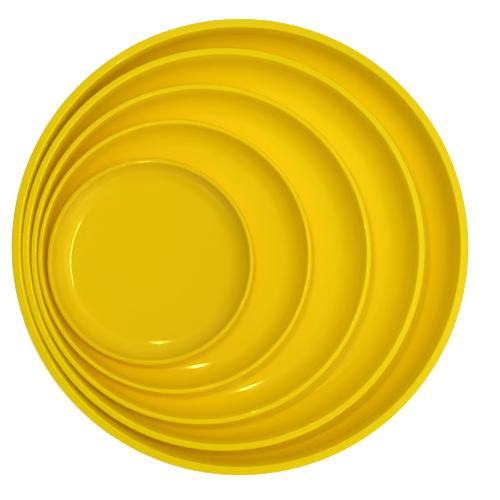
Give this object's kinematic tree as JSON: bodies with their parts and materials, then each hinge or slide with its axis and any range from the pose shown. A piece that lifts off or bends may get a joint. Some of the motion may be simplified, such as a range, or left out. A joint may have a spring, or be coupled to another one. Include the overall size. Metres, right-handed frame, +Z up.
{
  "type": "gold pan",
  "caption": "Nest of round, smooth-walled yellow plastic pans of falling size, each standing in the one around it and lifting straight out.",
  "frame": {"origin": "centre of the largest pan's foot, on the surface that it stands on", "axes": "+Z up, along the axis of every pan; +X towards the side where the floors show; +Y sideways"},
  "size_m": [0.4, 0.4, 0.0364],
  "materials": {
    "yellow_plastic": "glossy, injection moulded"
  },
  "bodies": {
    "largest_pan": {"largest_pan": "yellow_plastic"},
    "large_pan": {"large_pan": "yellow_plastic"},
    "middle_pan": {"middle_pan": "yellow_plastic"},
    "small_pan": {"small_pan": "yellow_plastic"},
    "smallest_pan": {"smallest_pan": "yellow_plastic"}
  },
  "joints": [
    {"name": "large_pan_lift", "type": "slide", "parent": "largest_pan", "child": "large_pan", "axis": [0, 0, 1], "range_m": [0, 0.045]},
    {"name": "middle_pan_lift", "type": "slide", "parent": "large_pan", "child": "middle_pan", "axis": [0, 0, 1], "range_m": [0, 0.04]},
    {"name": "small_pan_lift", "type": "slide", "parent": "middle_pan", "child": "small_pan", "axis": [0, 0, 1], "range_m": [0, 0.035]},
    {"name": "smallest_pan_lift", "type": "slide", "parent": "small_pan", "child": "smallest_pan", "axis": [0, 0, 1], "range_m": [0, 0.03]}
  ]
}
